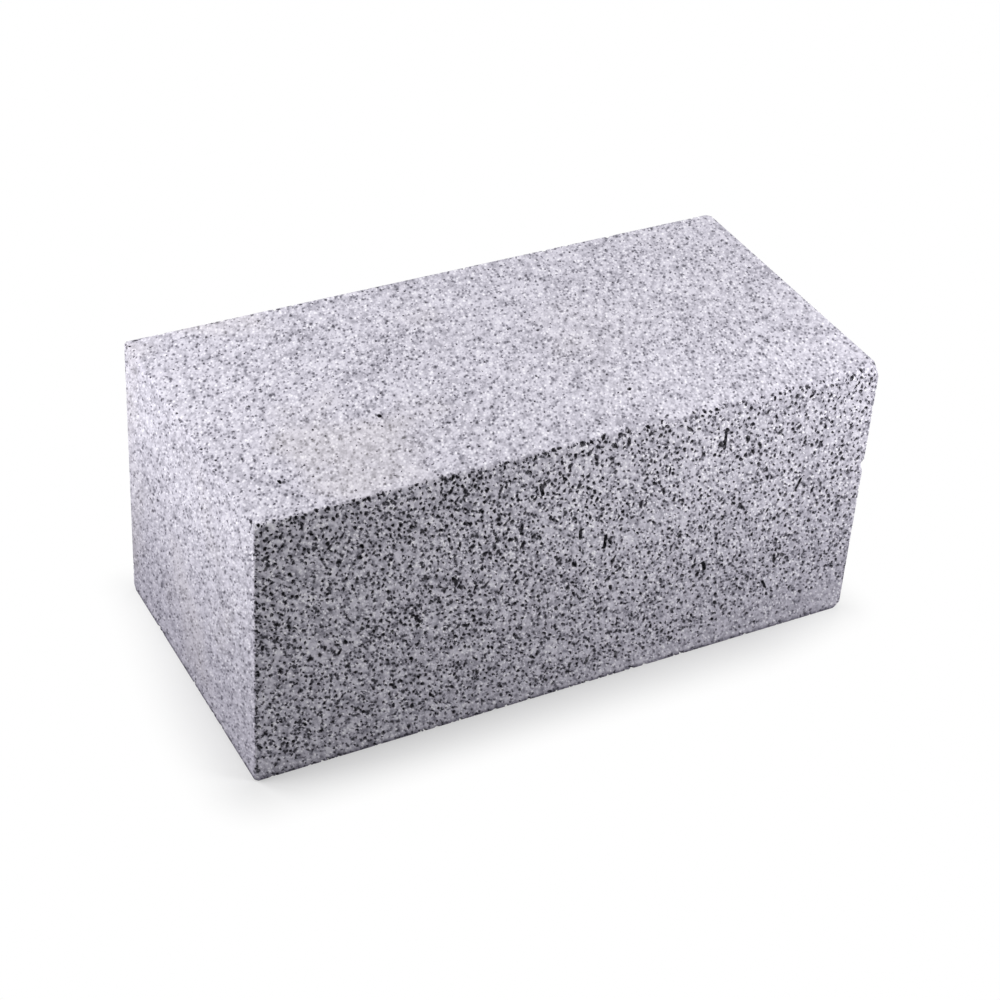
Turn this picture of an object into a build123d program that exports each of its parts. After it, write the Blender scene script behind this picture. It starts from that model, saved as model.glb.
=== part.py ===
"""A solid concrete block of open-textured lightweight aggregate, lying on its bed.

The block is one casting with no cores. Its length runs along X, its width along Y and its height
along Z, and the origin is the middle of the bottom bed. It has flat beds and faces, worn arrises,
knocked corners, two spalls in one upright arris, and the largest voids of its open face and its
top bed. The fine pores between the grains are not cut here.
"""

import os
from math import cos, radians, sin, sqrt

from build123d import *

# Size of the casting, in mm
length = 440
width = 215
height = 200

# Rounding of the arrises: the bottom ones stay crisp, as the pallet under the mould left them
upright_arris_radius = 2.0
top_arris_radius = 1.6
bottom_arris_radius = 1.0

# The front top arris is worn more and more from the left end to the right
front_wear_left = 2.4
front_wear_right = 6.0

# How far each knock reaches along the edges that meet at its corner
top_front_right_knock = 9
top_back_right_knock = 5
top_back_left_knock = 3
top_front_left_knock = 4
bottom_front_right_knock = 6
bottom_front_left_knock = 3
bottom_back_left_knock = 6
bottom_back_right_knock = 4

# Spalls in the front right upright arris: radius of the bite, its depth, and its drop from the top
large_spall = (6.0, 3.6, 79)
small_spall = (4.0, 2.0, 33)

# The middle of each void lies this deep under the face it opens in
void_sink = 0.8

# Front voids: place along the block from its middle, height above the bed, length, breadth and
# tilt from level
front_voids = (
    (104, height - 26, 18, 2.8, 91),
    (167, height - 80, 12, 2.8, 68),
    (100, height - 127, 9, 3.4, 106),
    (21, height - 83, 12, 3.0, 88),
    (2, height - 72, 9, 3.0, 92),
    (-29, height - 28, 11, 3.0, 105),
    (-112, height - 103, 12, 2.8, 127),
    (151, 42, 8, 2.8, 116),
    (168, height - 8, 6, 3.6, 60),
)

# Top voids: place along the block from its middle, distance back from the front face, length,
# breadth and turn from the block's length
top_voids = (
    (-189, 35, 5, 2.8, 97),
    (-105, 75, 4.4, 3.4, 95),
    (54, 41, 4.2, 3.2, 45),
)

# Cutters reach this far outside the casting
clear = 5

left, right = -length / 2, length / 2
front, back = -width / 2, width / 2

corner_knocks = (
    (right, front, height, top_front_right_knock),
    (right, back, height, top_back_right_knock),
    (left, back, height, top_back_left_knock),
    (left, front, height, top_front_left_knock),
    (right, front, 0, bottom_front_right_knock),
    (left, front, 0, bottom_front_left_knock),
    (left, back, 0, bottom_back_left_knock),
    (right, back, 0, bottom_back_right_knock),
)


def void_plane(mouth, outward, tilt):
    """The plane of a void: its X follows the void's length, and it faces out of the block."""
    face = Plane(origin=mouth, x_dir=(1, 0, 0), z_dir=outward)
    along = face.x_dir * cos(radians(tilt)) + face.y_dir * sin(radians(tilt))
    return Plane(origin=mouth, x_dir=along, z_dir=outward).offset(-void_sink)


with BuildPart() as concrete_block:
    # The casting as it leaves the mould
    with BuildSketch(Plane.XY):
        Rectangle(length, width)
    extrude(amount=height)
    fillet(concrete_block.edges().filter_by(Axis.Z), upright_arris_radius)
    fillet(concrete_block.faces().sort_by(Axis.Z)[-1].edges(), top_arris_radius)
    fillet(concrete_block.faces().sort_by(Axis.Z)[0].edges(), bottom_arris_radius)

    # Wear along the front top arris, as one round that widens to the right
    for end, wear in ((left - clear, front_wear_left), (right + clear, front_wear_right)):
        arc_middle = wear * (1 - sin(radians(45)))
        with BuildSketch(Plane.YZ.offset(end)):
            with BuildLine():
                Polyline(
                    (front + wear, height),
                    (front + wear, height + clear),
                    (front - clear, height + clear),
                    (front - clear, height - wear),
                    (front, height - wear),
                )
                ThreePointArc(
                    (front, height - wear),
                    (front + arc_middle, height - arc_middle),
                    (front + wear, height),
                )
            make_face()
    loft(mode=Mode.SUBTRACT)

    # Knocked corners, each cut by a plane across the three edges that meet there
    for x, y, z, knock in corner_knocks:
        outward = Vector(x, y, z - height / 2)
        outward = Vector(*(1 if part > 0 else -1 for part in outward))
        across = Plane(origin=Vector(x, y, z) - outward * (knock / 3), z_dir=outward)
        split(bisect_by=across, keep=Keep.BOTTOM)

    # Spalls in the front right upright arris
    for radius, depth, drop in (large_spall, small_spall):
        stand_off = (radius - depth) / sqrt(2)
        with Locations((right + stand_off, front - stand_off, height - drop)):
            Sphere(radius, mode=Mode.SUBTRACT)

    # The largest voids, each a round-ended hollow turned about its own length
    void_planes = [
        (void_plane((x, front, z), (0, -1, 0), tilt), long, broad)
        for x, z, long, broad, tilt in front_voids
    ] + [
        (void_plane((x, front + inset, height), (0, 0, 1), turn), long, broad)
        for x, inset, long, broad, turn in top_voids
    ]
    for plane, long, broad in void_planes:
        with BuildSketch(plane):
            SlotOverall(long, broad)
            Rectangle(long, broad, align=(Align.CENTER, Align.MAX), mode=Mode.SUBTRACT)
        revolve(axis=Axis(plane.origin, plane.x_dir), mode=Mode.SUBTRACT)

concrete_block.part.label = "concrete_block"

os.makedirs("parts", exist_ok=True)
export_step(concrete_block.part, "parts/concrete_block.step")
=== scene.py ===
from math import cos, radians, sin

import bmesh
import bpy
from mathutils import Matrix, Vector


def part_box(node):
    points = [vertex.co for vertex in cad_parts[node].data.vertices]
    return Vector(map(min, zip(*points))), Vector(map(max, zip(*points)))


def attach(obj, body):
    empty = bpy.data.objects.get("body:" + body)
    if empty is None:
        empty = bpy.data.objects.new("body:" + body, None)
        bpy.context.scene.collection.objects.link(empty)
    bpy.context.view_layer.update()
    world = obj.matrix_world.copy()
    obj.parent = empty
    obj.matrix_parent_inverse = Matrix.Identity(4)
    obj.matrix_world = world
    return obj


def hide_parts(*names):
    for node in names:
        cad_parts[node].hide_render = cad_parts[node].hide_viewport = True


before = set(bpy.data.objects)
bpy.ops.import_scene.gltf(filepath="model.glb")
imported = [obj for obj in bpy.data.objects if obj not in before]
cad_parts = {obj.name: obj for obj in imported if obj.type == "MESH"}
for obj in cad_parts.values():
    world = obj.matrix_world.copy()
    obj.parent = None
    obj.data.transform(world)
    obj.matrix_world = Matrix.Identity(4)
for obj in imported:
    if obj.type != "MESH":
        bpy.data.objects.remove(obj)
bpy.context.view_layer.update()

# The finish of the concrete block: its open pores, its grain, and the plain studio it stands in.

MM = 0.001
block_low, block_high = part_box("concrete_block")
length, width, height = block_high - block_low
scene = bpy.context.scene

# Pores of the open faces, front and back: closest spacing, most pores to a square metre, radii
OPEN_SPACING = 3.0 * MM
OPEN_DENSITY = 110000
OPEN_RADIUS = (0.9 * MM, 1.7 * MM)
# Pores of the closed faces: the beds and the ends
CLOSED_SPACING = 6.0 * MM
CLOSED_DENSITY = 30000
CLOSED_RADIUS = (0.7 * MM, 1.25 * MM)
# Voids where several grains are missing together, on the open faces
VOID_SPACING = 6.5 * MM
VOID_DENSITY = 18000
VOID_RADIUS = (1.4 * MM, 2.1 * MM)
# Nicks along the arrises
NICK_SPACING = 1.6 * MM
NICK_DENSITY = 400000
NICK_RADIUS = (0.7 * MM, 2.1 * MM)
# Pits in the sides of the large voids, which leave their rims crumbled
RIM_SPACING = 1.5 * MM
RIM_DENSITY = 500000
RIM_RADIUS = (0.6 * MM, 1.3 * MM)

# Least and greatest stretch of a pit across, upright and inwards
UPRIGHT_PIT = ((0.75, 0.9, 0.9), (1.1, 1.6, 1.4))
ROUND_PIT = ((0.8, 0.8, 0.7), (1.2, 1.3, 1.1))
LONG_PIT = ((0.7, 1.2, 0.8), (1.1, 2.4, 1.2))
# How far a pit stands out of the surface, as a share of its radius: less stands out on a void's side
PIT_RISE = 0.5
RIM_RISE = 0.3
# Different shapes of pit, picked at random, and the fewest sides that a mouth has
PIT_SHAPES = 8
PIT_SIDES = 5
# The cone that a pit is made from, before it is scaled, and how far noise moves its corners
CONE_RADIUS = 1.25
CONE_DEPTH = 2.4
CROOKEDNESS = 3.0

# How far from two faces at once the surface counts as an arris, and where worn corners end
ARRIS_REACH = 1.9 * MM
WORN_REACH = 9.0 * MM
# What lies deeper than this below the nearest face is inside a void or on a rounded arris
SKIN = 0.3 * MM
# The open faces are closed at the foot: up to the first height as far as this x, and from there more
# and more, up to the second height at the right end, with a soft edge from below to above that height
FOOT_START = 20 * MM
FOOT_HEIGHT = (9 * MM, 30 * MM)
FOOT_BLEND = (-6 * MM, 8 * MM)

# On the faces that show in the photo, grains are drawn out this many times along this line
GRAIN_LINE = (-0.394, -0.707, 0.587)
GRAIN_STRETCH = 5.0
# Colour of the gaps between the grains, painted as the shade in them, and of the grains from dark to pale
GAP_SHADE_COLOUR = (0.045, 0.043, 0.053, 1.0)
GRAIN_COLOURS = (
    (0.0, GAP_SHADE_COLOUR),
    (0.3, (0.26, 0.25, 0.30, 1.0)),
    (0.6, (0.66, 0.638, 0.722, 1.0)),
    (1.0, (0.97, 0.955, 1.0, 1.0)),
)
# Tints laid over the grains: warm patches, painted shade towards the foot, and painted shadow at its lowest
# edge
WARM_TINT = (0.68, 0.64, 0.64, 1.0)
LOW_SHADE_TINT = (0.5, 0.49, 0.53, 1.0)
FOOT_SHADOW_TINT = (0.4, 0.39, 0.43, 1.0)

# The studio: light from all round, and the lamps with place, aim, size in metres and power in watts
WORLD_LEVEL = 0.12
SOFTBOXES = (
    ("end_softbox", (-0.75, 0.12, 0.42), (-0.22, 0, 0.12), 0.3, 3.0),
    ("left_softbox", (-0.6, 0.45, 0.9), (-0.2, 0.05, 0.15), 0.3, 5.2),
    ("right_softbox", (0.35, -0.5, 0.45), (0.18, -0.1, 0.15), 0.25, 3.1),
    ("top_softbox", (0.6, 0.5, 0.8), (0.1, 0, 0.2), 0.5, 3.7),
)


class Value:
    """An output socket of a tree. Python's operators on it add Math nodes."""

    def __init__(self, tree, socket):
        self.tree, self.socket = tree, socket

    def __add__(self, other):
        return self.tree.math("ADD", self, other)

    def __sub__(self, other):
        return self.tree.math("SUBTRACT", self, other)

    def __rsub__(self, other):
        return self.tree.math("SUBTRACT", other, self)

    def __mul__(self, other):
        return self.tree.math("MULTIPLY", self, other)

    def __abs__(self):
        return self.tree.math("ABSOLUTE", self)

    def __lt__(self, other):
        return self.tree.math("LESS_THAN", self, other)

    def __gt__(self, other):
        return self.tree.math("GREATER_THAN", self, other)

    __radd__ = __add__
    __rmul__ = __mul__


class Made:
    """A new node: made["Distance"] is the output of that name, ready for arithmetic."""

    def __init__(self, tree, node):
        self.tree, self.node = tree, node

    def __getitem__(self, name):
        return Value(self.tree, find_socket(self.node.outputs, name))


def find_socket(sockets, name):
    """The socket in use that has this name, or this place where the name is a number."""
    if isinstance(name, int):
        return sockets[name]
    return next(s for s in sockets if s.name == name and s.enabled)


class Tree:
    """A node tree under construction, for a material or for geometry."""

    def __init__(self, nodes):
        self.nodes = nodes

    def node(self, kind, settings=None, inputs=None):
        """Adds a node, sets its settings first, and then gives its sockets values or links."""
        made = self.nodes.nodes.new(kind)
        for name, value in (settings or {}).items():
            if name == "stops":
                set_stops(made.color_ramp, value)
            else:
                setattr(made, name, value)
        for name, value in (inputs or {}).items():
            socket = find_socket(made.inputs, name)
            for one in value if isinstance(value, list) else [value]:
                if isinstance(one, Value):
                    self.nodes.links.new(one.socket, socket)
                else:
                    socket.default_value = one
        return Made(self, made)

    def math(self, operation, *values):
        inputs = dict(enumerate(values))
        return self.node("ShaderNodeMath", {"operation": operation}, inputs)["Value"]

    def least(self, first, *others):
        for other in others:
            first = self.math("MINIMUM", first, other)
        return first

    def most(self, first, *others):
        for other in others:
            first = self.math("MAXIMUM", first, other)
        return first

    def ramp(self, value, start, end, low=0.0, high=1.0):
        """low where value is at start, high where it is at end, and a soft step between."""
        settings = {"interpolation_type": "SMOOTHSTEP"}
        inputs = {"Value": value, 1: start, 2: end, 3: low, 4: high}
        return self.node("ShaderNodeMapRange", settings, inputs)["Result"]

    def noise(self, place, per_metre, detail=2.0, roughness=0.5):
        inputs = {"Vector": place, "Scale": per_metre, "Detail": detail, "Roughness": roughness}
        return self.node("ShaderNodeTexNoise", {}, inputs)[0]

    def mix(self, factor, a, b, blend="MIX"):
        settings = {"data_type": "RGBA", "blend_type": blend}
        return self.node("ShaderNodeMix", settings, {"Factor": factor, "A": a, "B": b})["Result"]

    def vector(self, operation, a, b):
        """A sum or product of two vectors, or a vector scaled by a number."""
        second = "Scale" if operation == "SCALE" else 1
        return self.node("ShaderNodeVectorMath", {"operation": operation}, {0: a, second: b})[0]

    def split(self, vector):
        parts = self.node("ShaderNodeSeparateXYZ", {}, {0: vector})
        return parts["X"], parts["Y"], parts["Z"]


def set_stops(ramp, stops):
    for (place, colour), element in zip(stops[:2], ramp.elements):
        element.position, element.color = place, colour
    for place, colour in stops[2:]:
        ramp.elements.new(place).color = colour


def depth_below_faces(tree, place):
    """How far a point lies inside the ends, the front or back, and the beds, in metres."""
    x, y, z = tree.split(place)
    from_end = length / 2 - abs(x)
    from_side = width / 2 - abs(y)
    from_bed = tree.least(z, height - z)
    return from_end, from_side, from_bed


def depth_at_arrises(tree, from_end, from_side, from_bed):
    """How far a point lies from the nearest arris: the second of its distances from the faces."""
    return tree.least(
        tree.most(from_end, from_side), tree.most(from_end, from_bed), tree.most(from_side, from_bed)
    )


def above_foot(tree, x, z, closed):
    """1 above the closed foot of the open faces, which is higher to the right, and closed in it."""
    foot = tree.ramp(x, FOOT_START, length / 2, *FOOT_HEIGHT)
    return tree.ramp(z - foot, *FOOT_BLEND, closed, 1.0)


def pit_shapes(tree):
    """Pits with a crooked mouth of five or six sides, narrowing inwards, as gaps between grains do."""
    pits = []
    for i in range(PIT_SHAPES):
        cone = tree.node(
            "GeometryNodeMeshCone",
            {"fill_type": "NGON"},
            {
                "Vertices": PIT_SIDES + i % 2,
                "Radius Top": 0.0,
                "Radius Bottom": CONE_RADIUS,
                "Depth": CONE_DEPTH,
            },
        )
        inward = tree.node(
            "GeometryNodeTransform", {}, {"Geometry": cone["Mesh"], "Rotation": (radians(180), 0, 0.4 * i)}
        )
        place = tree.node("GeometryNodeInputPosition")["Position"]
        shifted = tree.vector("ADD", place, (7.0 * i,) * 3)
        noise = tree.node("ShaderNodeTexNoise", {}, {"Vector": shifted, "Scale": 1.3})
        swing = tree.vector("SUBTRACT", noise["Color"], (0.5,) * 3)
        swing = tree.vector("MULTIPLY", swing, (CROOKEDNESS, CROOKEDNESS, 0.0))
        moved = tree.node(
            "GeometryNodeSetPosition", {}, {"Geometry": inward["Geometry"], "Offset": swing}
        )
        pits.append(tree.node("GeometryNodeGeometryToInstance", {}, {0: moved["Geometry"]})[0])
    return tree.node("GeometryNodeJoinGeometry", {}, {0: pits})[0]


def random_between(tree, low, high, seed):
    """A random vector between low and high, or a number where they are numbers."""
    kind = "FLOAT_VECTOR" if isinstance(low, tuple) else "FLOAT"
    inputs = {"Min": low, "Max": high, "Seed": seed}
    return tree.node("FunctionNodeRandomValue", {"data_type": kind}, inputs)["Value"]


def scatter_pits(tree, block, pits, seed, spacing, density, chance, radius, proportions, rise):
    """Pits on the block's surface, upright, kept by the chance given at each place."""
    points = tree.node(
        "GeometryNodeDistributePointsOnFaces",
        {"distribute_method": "POISSON"},
        {"Mesh": block, "Distance Min": spacing, "Density Max": density, "Seed": seed},
    )
    left_out = random_between(tree, 0.0, 1.0, seed + 4) > chance
    kept = tree.node(
        "GeometryNodeDeleteGeometry",
        {"domain": "POINT"},
        {"Geometry": points["Points"], "Selection": left_out},
    )
    lottery = random_between(tree, 0.0, 1.0, seed + 1)
    size = radius[0] + lottery * lottery * (radius[1] - radius[0])
    outward = tree.node(
        "FunctionNodeAlignRotationToVector", {"axis": "Z"}, {"Vector": points["Normal"]}
    )
    upright = tree.node(
        "FunctionNodeAlignRotationToVector",
        {"axis": "Y", "pivot_axis": "Z"},
        {"Rotation": outward[0], "Vector": (0.0, 0.0, 1.0)},
    )
    turned = tree.node(
        "FunctionNodeRotateRotation",
        {"rotation_space": "LOCAL"},
        {
            "Rotation": upright[0],
            "Rotate By": random_between(tree, (-0.25, -0.25, -0.8), (0.25, 0.25, 0.8), seed + 2),
        },
    )[0]
    shape = random_between(tree, proportions[0], proportions[1], seed + 3)
    scale = tree.vector("SCALE", shape, size)
    offset = tree.vector("SCALE", points["Normal"], size * rise)
    placed = tree.node(
        "GeometryNodeSetPosition", {}, {"Geometry": kept["Geometry"], "Offset": offset}
    )
    return tree.node(
        "GeometryNodeInstanceOnPoints",
        {},
        {
            "Points": placed["Geometry"],
            "Instance": pits,
            "Pick Instance": True,
            "Rotation": turned,
            "Scale": scale,
        },
    )["Instances"]


def open_texture_tree(concrete):
    """Cuts the pores, voids and nicks out of the block, and stores how deep each point lies."""
    group = bpy.data.node_groups.new("open_texture", "GeometryNodeTree")
    face = group.interface
    face.new_socket("Block", in_out="INPUT", socket_type="NodeSocketGeometry")
    for name, value in (
        ("Open spacing", OPEN_SPACING),
        ("Closed spacing", CLOSED_SPACING),
        ("Void spacing", VOID_SPACING),
        ("Nick spacing", NICK_SPACING),
        ("Rim spacing", RIM_SPACING),
    ):
        socket = face.new_socket(name, in_out="INPUT", socket_type="NodeSocketFloat")
        socket.default_value = value
    face.new_socket("Textured block", in_out="OUTPUT", socket_type="NodeSocketGeometry")
    tree = Tree(group)
    given = tree.node("NodeGroupInput")
    block = given["Block"]
    place = tree.node("GeometryNodeInputPosition")["Position"]
    x, y, z = tree.split(place)
    from_end, from_side, from_bed = depth_below_faces(tree, place)

    # The arrises lie near two faces at once; a void's inside lies below one face and far from others
    two_faces = depth_at_arrises(tree, from_end, from_side, from_bed)
    nearest = tree.least(from_end, from_side, from_bed)
    in_void = (nearest > SKIN) * (two_faces > WORN_REACH)

    # Open faces: patchy, less open at the foot and on the back, and about half as open where worn
    worn = (from_side < 6 * MM) * (from_bed < 6 * MM) * (from_bed > SKIN)
    on_open = tree.most(from_side < 0.8 * MM, worn * 0.5)
    patches = tree.ramp(tree.noise(place, 34.0, 2.0), 0.34, 0.55, 0.5, 1.0)
    front_or_back = tree.ramp(y, -10 * MM, 10 * MM, 1.0, 0.6)
    open_chance = on_open * patches * above_foot(tree, x, z, 0.15) * front_or_back
    open_chance = tree.most(open_chance, in_void)
    closed_chance = (1 - on_open) * tree.ramp(tree.noise(place, 30.0, 1.0), 0.35, 0.6, 0.35, 1.0)

    # Voids gather in the upper middle; nicks follow the arrises, and are few on the top's end arrises
    upper = tree.ramp(z, 0.3 * height, 0.9 * height, 0.1, 1.0)
    middle = tree.ramp(abs(x + 15 * MM), 50 * MM, 110 * MM, 1.0, 0.2)
    void_chance = on_open * upper * middle * tree.ramp(tree.noise(place, 18.0, 1.0), 0.38, 0.55)
    crown = (height - z < 3 * MM) * (from_side > 12 * MM)
    nick_chance = tree.ramp(tree.noise(place, 50.0, 1.0), 0.4, 0.6, 0.6, 1.0)
    nick_chance = (two_faces < ARRIS_REACH) * nick_chance * (1 - crown * 0.75)

    pits = pit_shapes(tree)
    cutters = [
        scatter_pits(tree, block, pits, 71, given["Rim spacing"], RIM_DENSITY, in_void,
                     RIM_RADIUS, ROUND_PIT, RIM_RISE),
        scatter_pits(tree, block, pits, 11, given["Open spacing"], OPEN_DENSITY, open_chance,
                     OPEN_RADIUS, UPRIGHT_PIT, PIT_RISE),
        scatter_pits(tree, block, pits, 23, given["Closed spacing"], CLOSED_DENSITY, closed_chance,
                     CLOSED_RADIUS, ROUND_PIT, PIT_RISE),
        scatter_pits(tree, block, pits, 37, given["Void spacing"], VOID_DENSITY, void_chance,
                     VOID_RADIUS, LONG_PIT, PIT_RISE),
        scatter_pits(tree, block, pits, 53, given["Nick spacing"], NICK_DENSITY, nick_chance,
                     NICK_RADIUS, ROUND_PIT, PIT_RISE),
    ]
    cut = tree.node(
        "GeometryNodeMeshBoolean",
        {"operation": "DIFFERENCE", "solver": "MANIFOLD"},
        {"Mesh 1": block, "Mesh 2": cutters},
    )["Mesh"]

    # Depth below the uncut skin, or below the nearest face in a void; little of it counts at arrises
    below = tree.node("GeometryNodeProximity", {"target_element": "FACES"}, {0: block})["Distance"]
    below = tree.most(below, nearest * (two_faces > WORN_REACH))
    faded = tree.ramp(x, 0.0, length / 2, 2.5 * MM, 7 * MM)
    below = below * tree.ramp(two_faces, 0.8 * MM, faded, 0.25, 1.0)
    stored = tree.node(
        "GeometryNodeStoreNamedAttribute",
        {"data_type": "FLOAT", "domain": "POINT"},
        {"Geometry": cut, "Name": "pore_depth", "Value": below},
    )["Geometry"]
    real = tree.node("GeometryNodeRealizeInstances", {}, {"Geometry": stored})["Geometry"]
    faced = tree.node("GeometryNodeSetMaterial", {}, {"Geometry": real, "Material": concrete})
    tree.node("NodeGroupOutput", {}, {"Textured block": faced["Geometry"]})
    return group


def drawn_out(tree, place, line, stretch, where=1.0):
    """Coordinates in which a pattern comes out stretched along line, a unit vector, if where is 1."""
    along = tree.node("ShaderNodeVectorMath", {"operation": "DOT_PRODUCT"}, {0: place, 1: line})["Value"]
    pull = tree.vector("SCALE", line, along * where * (1 / stretch - 1))
    return tree.vector("ADD", place, pull)


def dots(tree, place, per_metre, radius, share):
    """Balls in a share of the cells of a random grid, their radius in cells, cut by the surface."""
    cell = tree.node("ShaderNodeTexVoronoi", {"feature": "F1"}, {"Vector": place, "Scale": per_metre})
    lottery, spread, dim = tree.split(cell["Color"])
    reach = (spread * 0.5 + 0.8) * radius
    ball = tree.ramp(cell["Distance"], reach * 0.25, reach, 1.0, 0.0)
    return ball * (lottery < share) * (0.55 + dim * 0.45)


def aggregate_concrete():
    """Pale lavender-grey concrete: packed grains of uneven tone; gaps, hollows and foot get painted shade.
    """
    material = bpy.data.materials.new("aggregate_concrete")
    material.use_nodes = True
    material.node_tree.nodes.clear()
    tree = Tree(material.node_tree)
    place = tree.node("ShaderNodeTexCoord")["Object"]
    x, y, z = tree.split(place)
    depth = tree.node("ShaderNodeAttribute", {"attribute_name": "pore_depth"})["Fac"]
    from_end, from_side, from_bed = depth_below_faces(tree, place)
    open_face = tree.ramp(tree.least(from_end, from_bed) - from_side, -0.4 * MM, 0.6 * MM)

    # How open the skin is: less so in patches, on the closed faces and at the foot of the open ones
    clouds = tree.noise(place, 24.0, 3.0, 0.55) - 0.5
    patches = tree.noise(drawn_out(tree, place, (0.0, 0.0, 1.0), 1.8), 75.0, 2.0) - 0.5
    rightward = tree.ramp(x, 0.0, length / 2, 0.0, 0.2)
    upward = tree.ramp(z, 0.4 * height, height, 1.0, 2.2)
    open_part = open_face * above_foot(tree, x, z, 0.2) * (1 - rightward * upward)
    two_faces = depth_at_arrises(tree, from_end, from_side, from_bed)
    arris = tree.ramp(two_faces, 1.0 * MM, 4.0 * MM, 1.0, 0.0)
    closing = 0.06 - open_part * 0.06 - patches * 0.25 - arris * 0.05

    # The grids drift a little, so their dots are crooked. On the front, the top and the left end
    # they are also drawn out along one slanting line, so the dots look round where the photo shows
    # them at a slant.
    right_end = (x > 0.0) * (from_end < tree.least(from_side, from_bed))
    back = (y > 0.0) * (from_side < tree.least(from_end, from_bed))
    under = (z < height / 2) * (from_bed < tree.least(from_end, from_side))
    slanted = 1 - tree.most(right_end, back, under)
    drift = tree.node("ShaderNodeTexNoise", {}, {"Vector": place, "Scale": 660.0, "Detail": 1.0})
    drift = tree.vector("SCALE", drift["Color"], (1.2 + open_face * 1.0) * MM)
    drifted = tree.vector("ADD", place, drift)
    drifted = drawn_out(tree, drifted, GRAIN_LINE, GRAIN_STRETCH, slanted)
    # hole, gap and pinhole are pores painted dark as the shade in them; grit is paler grains
    hole = dots(tree, drifted, 260.0, 0.42 - closing, 0.52)
    gap = dots(tree, drifted, 400.0, 0.47 - closing, 0.76)
    pinhole = dots(tree, drifted, 560.0, 0.46 - closing, 0.35)
    grit = dots(tree, drifted, 420.0, 0.42, 0.92)

    # Tone, from 0 in the gaps, painted as their shade, to 1 on the palest grains
    smoothed = drawn_out(tree, place, GRAIN_LINE, GRAIN_STRETCH, slanted)
    fine = tree.noise(smoothed, 560.0, 1.0, 0.6) - 0.5
    middling = tree.noise(smoothed, 240.0, 1.0, 0.5) - 0.5
    leftward = open_face * tree.ramp(x, -length / 2, length / 2, 1.0, 0.0)
    tone = 0.53 + fine * 0.4 + middling * (0.55 + leftward * 0.45) + clouds * 0.17
    on_top = tree.ramp(z, height - 3 * MM, height - 1 * MM)
    tone = tone + grit * (0.34 + open_face * 0.26 + on_top * 0.04)
    tone = tone - tree.most(hole, gap) * (0.37 + open_part * 0.18 + leftward * 0.27 + on_top * 0.06)
    tone = tone - pinhole * (0.08 + open_part * 0.1)
    colour = tree.node("ShaderNodeValToRGB", {"stops": GRAIN_COLOURS}, {"Fac": tone})["Color"]

    # Warm patches to the left of the closed faces, and painted shade that darkens towards the foot
    warm = tree.ramp(tree.noise(place, 13.0, 2.0), 0.5, 0.7, 0.0, 0.25) * tree.ramp(x, 0.0, 0.1, 1.0, 0.1)
    colour = tree.mix(warm * (1 - open_face), colour, WARM_TINT)
    shade = tree.ramp(y, -width / 2, 0.0, 0.5, 0.64)
    shade = shade - open_face * tree.ramp(x, -length / 2, length / 2, 0.38, 0.03)
    shade = tree.ramp(z, 0.0, 0.85 * height, shade, 0.0)
    colour = tree.mix(shade, colour, LOW_SHADE_TINT, "MULTIPLY")
    # Painted contact shadow along the lowest few millimetres
    colour = tree.mix(tree.ramp(z, 1 * MM, 5 * MM, 1.0, 0.0), colour, FOOT_SHADOW_TINT, "MULTIPLY")

    # Painted shade: hollows darken with depth, apart from the grains that lie in them
    crumb = dots(tree, place, 430.0, 0.62, 0.62) * tree.ramp(depth, 0.5 * MM, 0.9 * MM)
    hollow_shade = tree.ramp(depth, 0.05 * MM, 1.0 * MM, 0.0, 0.9) * (1 - grit * 0.5) * (1 - crumb * 0.95)
    colour = tree.mix(hollow_shade, colour, GAP_SHADE_COLOUR)

    rise = tone * 0.8 + fine * 0.2 - hollow_shade * 0.6
    bump = tree.node(
        "ShaderNodeBump", {}, {"Strength": 0.5, "Distance": 0.8 * MM, "Height": rise}
    )
    shader = tree.node(
        "ShaderNodeBsdfPrincipled",
        {},
        {
            "Base Color": colour,
            "Roughness": tree.ramp(fine, -0.3, 0.3, 0.82, 0.98),
            "Specular IOR Level": 0.25,
            "Normal": bump["Normal"],
        },
    )
    tree.node("ShaderNodeOutputMaterial", {}, {"Surface": shader["BSDF"]})
    return material


def textured_block(concrete):
    """The CAD block with its pores cut, as one closed mesh."""
    mesh = bpy.data.meshes.new("block_casting")
    solid = bmesh.new()
    solid.from_mesh(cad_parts["concrete_block"].data)
    bmesh.ops.remove_doubles(solid, verts=solid.verts, dist=0.001 * MM)
    bmesh.ops.dissolve_degenerate(solid, edges=solid.edges, dist=0.0001 * MM)
    solid.to_mesh(mesh)
    solid.free()
    if "custom_normal" in mesh.attributes:
        mesh.attributes.remove(mesh.attributes["custom_normal"])
    casting = bpy.data.objects.new("block_casting", mesh)
    scene.collection.objects.link(casting)
    modifier = casting.modifiers.new("open_texture", "NODES")
    modifier.node_group = open_texture_tree(concrete)
    made = bpy.data.meshes.new_from_object(casting.evaluated_get(bpy.context.evaluated_depsgraph_get()))
    bpy.data.objects.remove(casting)
    made.name = "block"
    cut = bmesh.new()
    cut.from_mesh(made)
    bmesh.ops.dissolve_limit(cut, angle_limit=radians(3), verts=cut.verts, edges=cut.edges)
    bmesh.ops.triangulate(cut, faces=cut.faces)
    cut.to_mesh(made)
    cut.free()
    # The box's flat faces stay flat shaded, so only the arrises and the pits shade as rounded
    made.set_sharp_from_angle(angle=radians(32))
    for polygon in made.polygons:
        polygon.use_smooth = max(abs(part) for part in polygon.normal) < 0.99999
    block = bpy.data.objects.new("block", made)
    scene.collection.objects.link(block)
    return block


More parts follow.
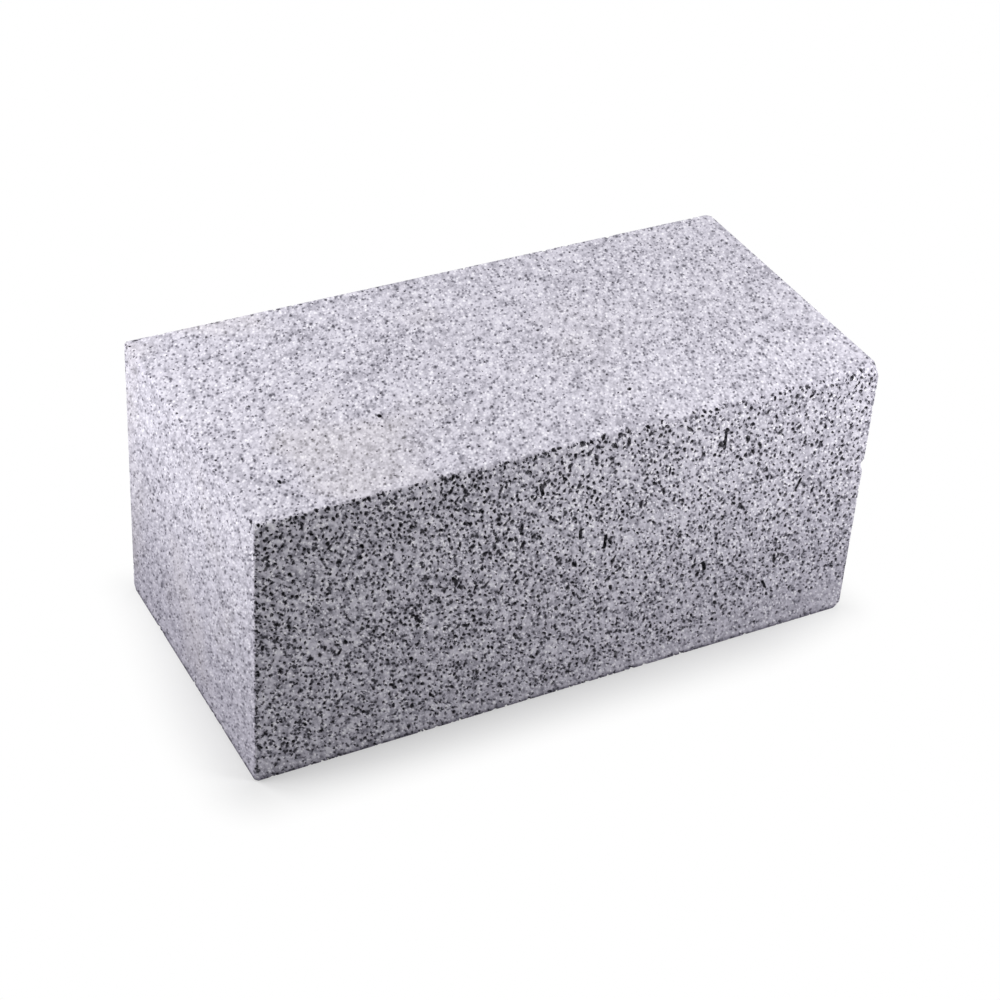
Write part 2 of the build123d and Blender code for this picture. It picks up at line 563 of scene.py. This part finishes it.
def photo_camera():
    """The camera, from a fit to the seven corners of the block that show."""
    azimuth, elevation, roll = radians(-29.76), radians(36.14), radians(3.92)
    aside, rise, distance = 0.0020, -0.0136, 1.638
    focal_pixels, image_pixels = 2450, 1000
    back = Vector((sin(azimuth) * cos(elevation), -cos(azimuth) * cos(elevation), sin(elevation)))
    level = Vector((cos(azimuth), sin(azimuth), 0))
    up = back.cross(level)
    right = cos(roll) * level + sin(roll) * up
    above = cos(roll) * up - sin(roll) * level
    target = Vector((0, 0, height / 2))
    data = bpy.data.cameras.new("photo_camera")
    data.sensor_width = 36
    data.lens = focal_pixels / image_pixels * data.sensor_width
    data.clip_start, data.clip_end = 0.05, 50
    camera = bpy.data.objects.new("photo_camera", data)
    turn = Matrix((right, above, back)).transposed().to_4x4()
    camera.matrix_world = Matrix.Translation(target + aside * right + rise * above + distance * back) @ turn
    scene.collection.objects.link(camera)
    scene.camera = camera


def softbox(name, place, aim, size, power):
    """A square lamp at place, facing aim."""
    data = bpy.data.lights.new(name, "AREA")
    data.shape = "SQUARE"
    data.size = size
    data.energy = power
    lamp = bpy.data.objects.new(name, data)
    lamp.location = place
    lamp.rotation_euler = (Vector(aim) - Vector(place)).to_track_quat("-Z", "Y").to_euler()
    scene.collection.objects.link(lamp)


def seen_directly(tree):
    """1 for the camera's own rays and for what they see in or through a shiny surface."""
    path = tree.node("ShaderNodeLightPath")
    return tree.most(path["Is Camera Ray"], path["Is Glossy Ray"], path["Is Transmission Ray"])


def studio_floor():
    """A pale floor that the camera sees as white, with the block's shadow round its foot, painted out to
    white further off.
    """
    sheet = bmesh.new()
    bmesh.ops.create_grid(sheet, size=6)
    mesh = bpy.data.meshes.new("studio_floor")
    sheet.to_mesh(mesh)
    sheet.free()
    floor = bpy.data.objects.new("studio_floor", mesh)
    scene.collection.objects.link(floor)
    material = bpy.data.materials.new("studio_floor")
    material.use_nodes = True
    material.node_tree.nodes.clear()
    tree = Tree(material.node_tree)
    # The real shadow is painted over with white a little way from the foot, sooner behind the block and to
    # its right
    x, y, _ = tree.split(tree.node("ShaderNodeTexCoord")["Object"])
    white_sooner = tree.most(tree.ramp(y, -width / 4, width / 2), tree.ramp(x, 0.3 * length, 0.55 * length))
    beyond_x = tree.most(abs(x) - length / 2, 0.0)
    beyond_y = tree.most(abs(y) - width / 2, 0.0)
    away = tree.math("SQRT", beyond_x * beyond_x + beyond_y * beyond_y)
    matt = tree.node("ShaderNodeBsdfDiffuse", {}, {"Color": (0.45, 0.45, 0.46, 1.0)})
    shaded = tree.node("ShaderNodeBsdfDiffuse", {}, {"Color": (0.40, 0.40, 0.40, 1.0)})
    glow = tree.node("ShaderNodeEmission", {}, {"Color": (1, 1, 1, 1), "Strength": 0.38})
    lit = tree.node("ShaderNodeAddShader", {}, {0: shaded["BSDF"], 1: glow["Emission"]})
    white = tree.node("ShaderNodeEmission", {}, {"Color": (1, 1, 1, 1), "Strength": 1.0})
    near_or_far = tree.ramp(away + white_sooner * 18 * MM, -10 * MM, 48 * MM)
    seen = tree.node("ShaderNodeMixShader", {}, {"Fac": near_or_far, 1: lit[0], 2: white["Emission"]})
    direct = seen_directly(tree)
    surface = tree.node("ShaderNodeMixShader", {}, {"Fac": direct, 1: matt["BSDF"], 2: seen[0]})
    tree.node("ShaderNodeOutputMaterial", {}, {"Surface": surface[0]})
    floor.data.materials.append(material)


def studio_light():
    """Soft even light from all round, which the camera sees as white, and four lamps."""
    world = bpy.data.worlds.new("studio")
    scene.world = world
    world.use_nodes = True
    world.node_tree.nodes.clear()
    tree = Tree(world.node_tree)
    strength = tree.ramp(seen_directly(tree), 0.0, 1.0, WORLD_LEVEL, 1.0)
    sky = tree.node("ShaderNodeBackground", {}, {"Color": (1, 1, 1, 1), "Strength": strength})
    tree.node("ShaderNodeOutputWorld", {}, {"Surface": sky[0]})
    for name, place, aim, size, power in SOFTBOXES:
        softbox(name, place, aim, size, power)


scene.view_settings.view_transform = "Standard"
photo_camera()
studio_floor()
studio_light()
concrete = aggregate_concrete()
block = textured_block(concrete)
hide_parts("concrete_block")
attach(block, "root")
